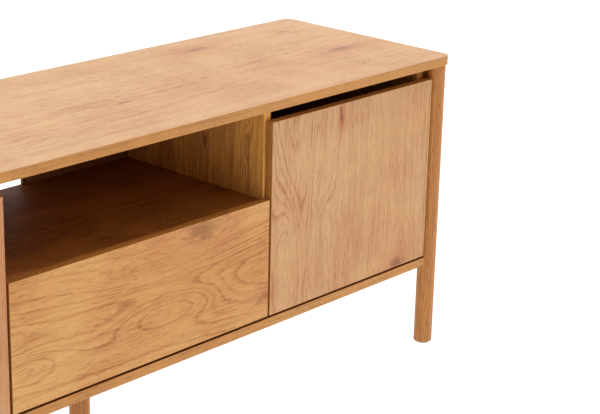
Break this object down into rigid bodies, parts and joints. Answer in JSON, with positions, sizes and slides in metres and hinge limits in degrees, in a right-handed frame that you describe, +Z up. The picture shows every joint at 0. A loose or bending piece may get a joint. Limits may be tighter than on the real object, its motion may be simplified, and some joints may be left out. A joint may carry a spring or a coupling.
{
  "type": "tv stand",
  "caption": "Low oak stand on round corner legs, with a door cupboard at each end and an open cable bay above a wide push-to-open drawer in the middle.",
  "frame": {"origin": "on the floor under the middle of the top panel", "axes": "+Z up, +X to the right along the length, front facing -Y"},
  "size_m": [1.44, 0.4, 0.55],
  "materials": {
    "oak_top": "matt lacquered oak veneer, grain along the length",
    "oak_panel": "matt lacquered oak veneer",
    "oak_front": "matt lacquered oak veneer",
    "oak_leg": "oiled solid oak, grain along the leg",
    "back_board": "oak-faced fibreboard",
    "drawer_wood": "pale plywood and foil",
    "beech": "raw beech",
    "zinc_steel": "zinc-plated",
    "grey_plastic": "moulded",
    "white_plastic": "moulded",
    "felt_pad": "matt"
  },
  "bodies": {
    "cabinet": {"top_panel": "oak_top", "bottom_panel": "oak_panel", "side_panel_left": "oak_panel", "side_panel_right": "oak_panel", "divider_left": "oak_panel", "divider_right": "oak_panel", "bay_floor": "oak_panel", "hinge_post_left": "oak_panel", "hinge_post_right": "oak_panel", "cupboard_shelf_left": "oak_panel", "cupboard_shelf_right": "oak_panel", "leg_front_left": "oak_leg", "leg_front_right": "oak_leg", "leg_back_left": "oak_leg", "leg_back_right": "oak_leg", "leg_centre": "oak_leg", "back_board_left": "back_board", "back_board_centre": "back_board", "back_board_right": "back_board", "dowels": "beech", "shelf_pins": "zinc_steel", "cam_discs": "zinc_steel", "cam_bolts": "zinc_steel", "back_screws": "zinc_steel", "hinge_arms_left": "zinc_steel", "hinge_arms_right": "zinc_steel", "hinge_screws": "zinc_steel", "runner_outer_left": "zinc_steel", "runner_outer_right": "zinc_steel", "latch_housing": "grey_plastic", "door_catches": "grey_plastic", "foot_glides": "felt_pad", "door_bumpers": "felt_pad"},
    "door_left": {"door_left": "oak_front", "hinge_cups_left": "zinc_steel", "strike_left": "zinc_steel"},
    "door_right": {"door_right": "oak_front", "hinge_cups_right": "zinc_steel", "strike_right": "zinc_steel"},
    "drawer": {"drawer_front": "oak_front", "drawer_box_front": "drawer_wood", "drawer_box_back": "drawer_wood", "drawer_side_left": "drawer_wood", "drawer_side_right": "drawer_wood", "drawer_bottom": "drawer_wood", "drawer_screws": "zinc_steel", "runner_inner_left": "zinc_steel", "runner_inner_right": "zinc_steel"},
    "runner_middles": {"runner_middle_left": "zinc_steel", "runner_middle_right": "zinc_steel"},
    "latch_plunger": {"latch_plunger": "white_plastic"}
  },
  "joints": [
    {"name": "door_right_hinge", "type": "hinge", "parent": "cabinet", "child": "door_right", "pos_m": [0.6775, -0.1845, 0.343], "axis": [0, 0, 1], "range_deg": [0, 95]},
    {"name": "door_left_hinge", "type": "hinge", "parent": "cabinet", "child": "door_left", "pos_m": [-0.6775, -0.1845, 0.343], "axis": [0, 0, -1], "range_deg": [0, 95]},
    {"name": "drawer_slide", "type": "slide", "parent": "cabinet", "child": "drawer", "axis": [0, -1, 0], "range_m": [0, 0.25]},
    {"name": "runner_middle_slide", "type": "slide", "parent": "cabinet", "child": "runner_middles", "axis": [0, -1, 0], "range_m": [0, 0.125]},
    {"name": "latch_plunger_slide", "type": "slide", "parent": "cabinet", "child": "latch_plunger", "axis": [0, -1, 0], "range_m": [-0.004, 0], "stiffness_N_per_m": 120}
  ],
  "couplings": [
    {"joint": "runner_middle_slide", "follows": "drawer_slide", "ratio": 0.5}
  ]
}
